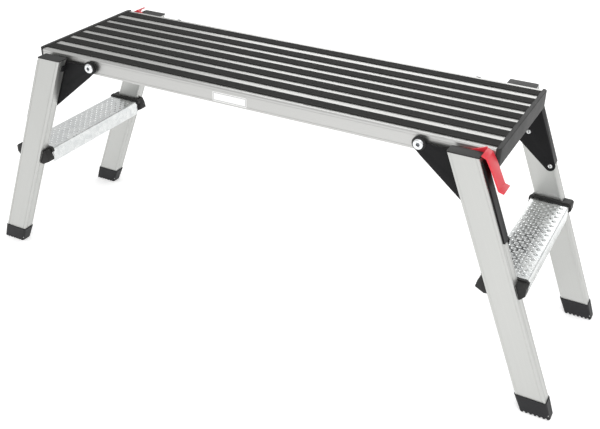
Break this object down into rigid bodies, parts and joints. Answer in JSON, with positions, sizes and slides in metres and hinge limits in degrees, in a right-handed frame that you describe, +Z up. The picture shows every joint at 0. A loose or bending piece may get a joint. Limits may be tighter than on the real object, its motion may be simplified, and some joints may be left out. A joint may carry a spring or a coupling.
{
  "type": "work platform bench",
  "caption": "Folding aluminium work platform with a ribbed deck, splayed box-section legs, a steel tread at each end and release levers.",
  "frame": {"origin": "on the floor, under the middle of the deck", "axes": "+X along the deck towards the end whose release lever is at the front, +Y to the back, +Z up"},
  "size_m": [1.3414, 0.378, 0.502],
  "materials": {
    "deck_aluminium": "satin, natural anodised extrusion",
    "leg_aluminium": "satin, natural anodised extrusion",
    "grip_strip": "matt, finely ribbed",
    "black_plastic": "moulded, fine grain",
    "foot_rubber": "moulded, matt",
    "black_steel": "black powder coat, satin",
    "zinc_sheet": "bright zinc, lightly spangled",
    "bright_zinc": "bright zinc plated",
    "rivet_steel": "blind rivet, plain",
    "spring_steel": "oiled spring wire",
    "red_plastic": "moulded, semi-gloss",
    "label": "printed film, blank"
  },
  "bodies": {
    "deck": {"blank_label": "label", "cross_brace_left": "zinc_sheet", "cross_brace_right": "zinc_sheet", "cross_brace_rivets": "rivet_steel", "deck_back_rail": "deck_aluminium", "deck_centre_plank": "deck_aluminium", "deck_front_rail": "deck_aluminium", "end_cap_left": "black_plastic", "end_cap_right": "black_plastic", "grip_strip_1": "grip_strip", "grip_strip_2": "grip_strip", "grip_strip_3": "grip_strip", "grip_strip_4": "grip_strip", "grip_strip_5": "grip_strip", "grip_strip_6": "grip_strip", "grip_strip_7": "grip_strip", "lock_pin_left": "bright_zinc", "lock_pin_right": "bright_zinc", "pivot_bolts": "bright_zinc", "pivot_nuts": "bright_zinc", "pivot_spacers": "black_plastic"},
    "right_legs": {"right_back_bracket": "black_steel", "right_back_foot": "foot_rubber", "right_back_leg": "leg_aluminium", "right_back_leg_cap": "black_plastic", "right_back_tread_collar": "black_plastic", "right_bracket_rivets": "rivet_steel", "right_front_bracket": "black_steel", "right_front_foot": "foot_rubber", "right_front_leg": "leg_aluminium", "right_front_leg_cap": "black_plastic", "right_front_tread_collar": "black_plastic", "right_lever_pin": "bright_zinc", "right_pivot_bushes": "black_plastic", "right_tread": "zinc_sheet", "right_tread_rivets": "rivet_steel"},
    "left_legs": {"left_back_bracket": "black_steel", "left_back_foot": "foot_rubber", "left_back_leg": "leg_aluminium", "left_back_leg_cap": "black_plastic", "left_back_tread_collar": "black_plastic", "left_bracket_rivets": "rivet_steel", "left_front_bracket": "black_steel", "left_front_foot": "foot_rubber", "left_front_leg": "leg_aluminium", "left_front_leg_cap": "black_plastic", "left_front_tread_collar": "black_plastic", "left_lever_pin": "bright_zinc", "left_pivot_bushes": "black_plastic", "left_tread": "zinc_sheet", "left_tread_rivets": "rivet_steel"},
    "right_lever": {"right_lever_spring": "spring_steel", "right_release_lever": "red_plastic"},
    "left_lever": {"left_lever_spring": "spring_steel", "left_release_lever": "red_plastic"}
  },
  "joints": [
    {"name": "right_legs_fold", "type": "hinge", "parent": "deck", "child": "right_legs", "pos_m": [0.362, 0, 0.482], "axis": [0, 1, 0], "range_deg": [0, 114]},
    {"name": "left_legs_fold", "type": "hinge", "parent": "deck", "child": "left_legs", "pos_m": [-0.362, 0, 0.482], "axis": [0, -1, 0], "range_deg": [0, 98]},
    {"name": "right_lever_press", "type": "hinge", "parent": "right_legs", "child": "right_lever", "pos_m": [0.461, -0.1554, 0.48], "axis": [0, 1, 0], "range_deg": [0, 10], "stiffness_Nm_per_rad": 0.3, "springref_deg": -17.19},
    {"name": "left_lever_press", "type": "hinge", "parent": "left_legs", "child": "left_lever", "pos_m": [-0.461, 0.1554, 0.48], "axis": [0, -1, 0], "range_deg": [0, 10], "stiffness_Nm_per_rad": 0.3, "springref_deg": -17.19}
  ]
}
